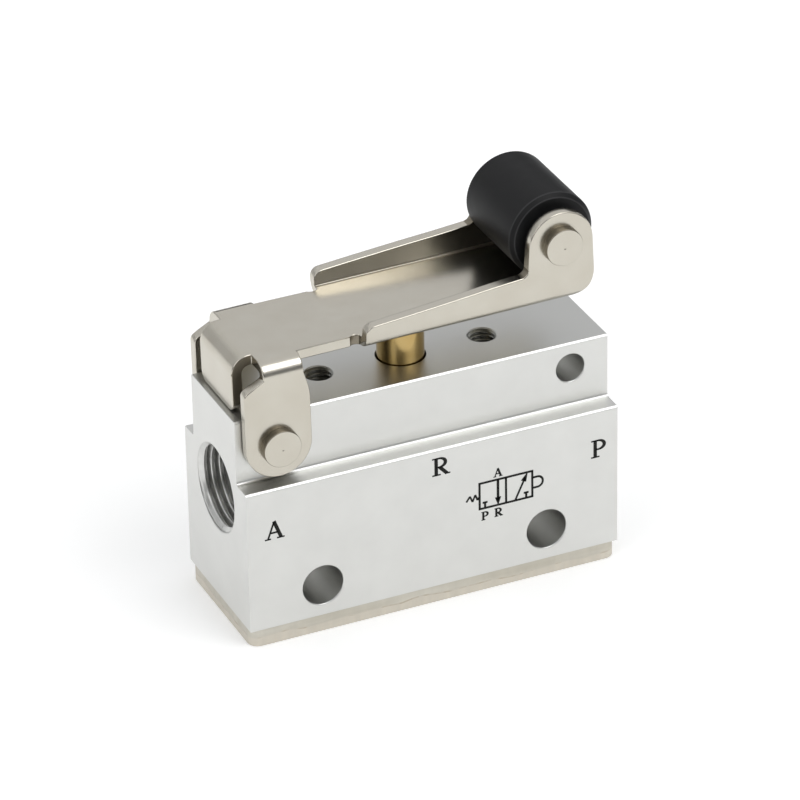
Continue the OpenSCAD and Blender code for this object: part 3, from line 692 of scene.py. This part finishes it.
# Threads
for port in ("port_a", "port_p"):
    axis = mounts[port]["axis"]
    place = mounts[port]["pos_m"]
    mouth = (math.copysign(body_high.x, axis[0]), place[1], place[2])
    dims = mounts[port]["dims"]
    thread_liner(port + "_thread", mouth, axis, dims["r_mm"] * MM, PORT_CREST_R, PORT_PITCH,
                 dims["length_mm"] * MM - PORT_UNCUT, PORT_MOUTH_CONE, port_metal, around=128)
for side, name in ((-1, "top_thread_left"), (1, "top_thread_right")):
    mouth = (side * TOP_HOLE_X, 0, body_high.z - TOP_BEVEL)
    thread_liner(name, mouth, (0, 0, 1), TOP_HOLE_R, TOP_CREST_R, TOP_PITCH, TOP_HOLE_DEPTH, TOP_MOUTH_CONE,
                 shaded_tapped_metal, around=64, per_turn=14)


# Marks printed on the front face

def ink_stroke(path, widths):
    """Points of a flat bar of ink: a four-cornered section follows a path of (x, z) with the given widths."""
    path = np.asarray(path, float) * MM
    way = np.gradient(path, axis=0)
    way = way / np.linalg.norm(way, axis=1, keepdims=True)
    half = np.stack([-way[:, 1], way[:, 0]], axis=1) * np.broadcast_to(widths, len(path))[:, None] * MM / 2
    corners = np.stack([path + half, path - half, path - half, path + half], axis=1)
    depth = np.array([body_low.y - INK_OUT] * 2 + [body_low.y + INK_IN] * 2)
    return np.stack([corners[..., 0], np.broadcast_to(depth, corners.shape[:2]), corners[..., 1]], axis=-1)


def ink_mark(name, strokes):
    """One printed mark: every stroke is a closed bar with both its ends capped."""
    points, faces, start = [], [], 0
    for stroke in strokes:
        rows, sides = stroke.shape[:2]
        first_cap = np.arange(sides)
        caps = np.array([first_cap, first_cap + (rows - 1) * sides])
        faces.append(np.concatenate([grid_faces(rows, sides, False, True), caps]) + start)
        points.append(stroke.reshape(-1, 3))
        start += rows * sides
    piece = make_piece(name, np.concatenate(points), np.concatenate(faces), ink, "housing")
    piece.data.polygons.foreach_set("use_smooth", np.zeros(len(piece.data.polygons), bool))


def bowl(thin, thick, steps=28):
    """The round of a P or R: a half ellipse from the stem's top to its middle, thickest at the right."""
    angle = np.linspace(np.pi / 2, -np.pi / 2, steps)
    path = np.stack([0.40 + 0.34 * np.cos(angle), 0.71 + 0.25 * np.sin(angle)], axis=1)
    path = np.concatenate([[[0.24, 0.96]], path, [[0.24, 0.46]]])
    widths = thin + (thick - thin) * np.cos(angle) ** 1.5
    return path, np.concatenate([[thin], widths, [thin]])


# Letters as strokes of (path, width), in shares of the letter's height
SERIF = 0.08
THIN = 0.1
THICK = 0.19
STEM = [([(0.24, 0.0), (0.24, 1.0)], THICK), ([(0.02, 0.035), (0.48, 0.035)], SERIF),
        ([(0.02, 0.965), (0.30, 0.965)], SERIF), bowl(THIN, THICK)]
LETTERS = {
    "A": [([(0.12, 0.03), (0.47, 0.98)], THIN), ([(0.46, 1.0), (0.82, 0.03)], THICK),
          ([(0.25, 0.36), (0.68, 0.36)], THIN), ([(-0.04, 0.035), (0.28, 0.035)], SERIF),
          ([(0.60, 0.035), (1.0, 0.035)], SERIF)],
    "P": STEM,
    "R": STEM + [([(0.42, 0.47), (0.82, 0.03)], THICK), ([(0.74, 0.035), (1.0, 0.035)], SERIF)],
}


def letter(character, left, foot, height, weight=1.0):
    """A serif capital at (left, foot), scaled to its height in millimetres, with bolder strokes by weight."""
    return [ink_stroke(np.asarray(path) * height + (left, foot), np.asarray(widths) * height * weight)
            for path, widths in LETTERS[character]]


# Port letters
ink_mark("port_letter_a", letter("A", -18.98, 12.48, 2.1))
ink_mark("port_letter_r", letter("R", -0.32, 15.2, 2.1))
ink_mark("port_letter_p", letter("P", 17.88, 12.7, 2.1))

# Valve symbol, in millimetres: two boxes for the two positions, a spring on the left, a plunger on the right
LINE = 0.25
LEFT, MIDDLE, RIGHT = 5.06, 8.09, 11.11
FOOT, HEAD = 9.95, 13.0
LEFT_OUT, RIGHT_OUT = LEFT - LINE / 2, RIGHT + LINE / 2
SPRING = [(3.54, 11.16), (3.96, 11.76), (4.25, 11.04), (4.57, 11.80), (4.82, 11.12), (5.0, 11.42)]
plunger_angle = np.linspace(np.pi / 2, -np.pi / 2, 17)
plunger = np.stack([11.72 + 0.6 * np.cos(plunger_angle), 11.57 + 0.62 * np.sin(plunger_angle)], axis=1)
symbol = [([(LEFT_OUT, FOOT), (RIGHT_OUT, FOOT)], LINE), ([(LEFT_OUT, HEAD), (RIGHT_OUT, HEAD)], LINE),
          ([(LEFT, FOOT), (LEFT, HEAD)], LINE), ([(MIDDLE, FOOT), (MIDDLE, HEAD)], LINE),
          ([(RIGHT, FOOT), (RIGHT, HEAD)], LINE),
          ([(7.17, HEAD), (7.17, 10.5)], 0.3), ([(7.17, 10.9), (7.17, FOOT + 0.02)], [0.72, 0.06]),
          ([(9.12, FOOT), (10.30, 12.45)], 0.23), ([(10.10, 12.03), (10.56, HEAD - 0.02)], [0.66, 0.06]),
          ([(5.68, FOOT), (5.68, 10.62)], 0.25), ([(5.40, 10.62), (5.96, 10.62)], 0.24),
          ([(10.40, FOOT), (10.40, 10.60)], 0.25), ([(10.12, 10.60), (10.68, 10.60)], 0.24),
          (np.concatenate([[[RIGHT, 12.19]], plunger, [[RIGHT, 10.95]]]), 0.25)]
symbol += [([start, end], 0.21) for start, end in zip(SPRING[:-1], SPRING[1:])]
symbol_letters = [letter(character, left, foot, 1.0, weight=1.3)
                  for character, left, foot in (("A", 6.70, 13.34), ("P", 5.22, 8.52), ("R", 6.72, 8.57))]
ink_mark("valve_symbol", [ink_stroke(path, width) for path, width in symbol] + sum(symbol_letters, []))


# Stage

def soft_box(name, place, aim, width, height, power):
    """A large soft studio lamp at a place, facing its aim."""
    lamp = bpy.data.lights.new(name, "AREA")
    lamp.shape = "RECTANGLE"
    lamp.size = width
    lamp.size_y = height
    lamp.energy = power
    holder = bpy.data.objects.new(name, lamp)
    holder.location = place
    holder.rotation_euler = (Vector(aim) - Vector(place)).to_track_quat("-Z", "Y").to_euler()
    bpy.context.scene.collection.objects.link(holder)


floor_half = 2.0
floor_mesh = bpy.data.meshes.new("floor")
floor_corners = [(-floor_half, -floor_half, 0), (floor_half, -floor_half, 0),
                 (floor_half, floor_half, 0), (-floor_half, floor_half, 0)]
floor_mesh.from_pydata(floor_corners, [], [(0, 1, 2, 3)])
floor = bpy.data.objects.new("floor", floor_mesh)
floor.location.z = cad_box[0][2]
bpy.context.scene.collection.objects.link(floor)
# White matt paper. Seen by the camera or in a reflection it also glows a little, which keeps it white
paper, paper_tree, paper_shader, _ = blank_material("white_paper")
paper_shader.inputs["Base Color"].default_value = linear("#f6f6f5")
paper_shader.inputs["Roughness"].default_value = 0.9
paper_shader.inputs["Specular IOR Level"].default_value = 0.1
rays = add(paper_tree, "LightPath")
seen = add(paper_tree, "Math", {0: rays.outputs["Is Camera Ray"], 1: rays.outputs["Is Glossy Ray"]},
           operation="MAXIMUM")
seen_through = add(paper_tree, "Math", {0: seen.outputs[0], 1: rays.outputs["Is Transmission Ray"]},
                   operation="MAXIMUM")
glow = add(paper_tree, "Math", {0: seen_through.outputs[0], 1: PAPER_GLOW}, operation="MULTIPLY")
paper_shader.inputs["Emission Color"].default_value = linear("#ffffff")
paper_tree.links.new(glow.outputs[0], paper_shader.inputs["Emission Strength"])
floor_mesh.materials.append(paper)


def stage_cloth(name, line, low, high, colour):
    """An upright cloth along a line of (x, y) points, between two heights, which only the metal sees."""
    cloth, _, cloth_shader, _ = blank_material(name)
    cloth_shader.inputs["Base Color"].default_value = linear(colour)
    cloth_shader.inputs["Roughness"].default_value = 0.9
    line = np.asarray(line, float)
    foot = np.column_stack([line, np.full(len(line), low)])
    head = np.column_stack([line, np.full(len(line), high)])
    mesh = bpy.data.meshes.new(name)
    faces = grid_faces(2, len(line), False, False)
    mesh.from_pydata(np.concatenate([foot, head]).tolist(), [], faces.tolist())
    mesh.materials.append(cloth)
    hanging = bpy.data.objects.new(name, mesh)
    hanging.visible_camera = False
    bpy.context.scene.collection.objects.link(hanging)


def room_arc(start, end, steps=25):
    """Points of the room's round wall between two angles in degrees from +X, ROOM_R from the object."""
    angle = np.radians(np.linspace(start, end, steps))
    return ROOM_R * np.column_stack([np.cos(angle), np.sin(angle)])


# The dim room round the table, pale at the back left, grey at the front right, and dark behind the camera
stage_cloth("dim_room_right", room_arc(-20, 85), 0.0, 0.5, "#3c3c3c")
stage_cloth("pale_room_back", room_arc(85, 165), 0.0, 0.95, "#f2f2f2")
stage_cloth("dim_room_left", room_arc(165, 260), 0.0, 0.45, "#3c3c3c")
stage_cloth("grey_room_front", room_arc(260, 340), 0.0, 0.76, "#9c9c9c")
stage_cloth("camera_cloth", [(-1.0, -0.55), (-0.12, -1.05)], 0.0, 0.85, "#1c1c1c")

world = bpy.data.worlds.new("studio")
world.use_nodes = True
background = world.node_tree.nodes["Background"]
background.inputs["Color"].default_value = linear("#f7f8fa")
background.inputs["Strength"].default_value = 0.86
bpy.context.scene.world = world

aim = (0, 0, 0.02)
soft_box("front_box", (0.22, -0.40, 0.62), aim, width=0.40, height=0.42, power=1.5)
soft_box("left_box", (-0.55, -0.30, 0.40), aim, width=0.40, height=0.50, power=0.7)

camera_data = bpy.data.cameras.new("camera")
camera_data.lens = CAMERA_LENS
camera_data.sensor_width = 36
camera = bpy.data.objects.new("camera", camera_data)
camera.location = CAMERA_PLACE
camera.rotation_euler = [math.radians(turn) for turn in CAMERA_TURN_DEGREES]
bpy.context.scene.collection.objects.link(camera)
bpy.context.scene.camera = camera

bpy.context.scene.view_settings.view_transform = "Standard"
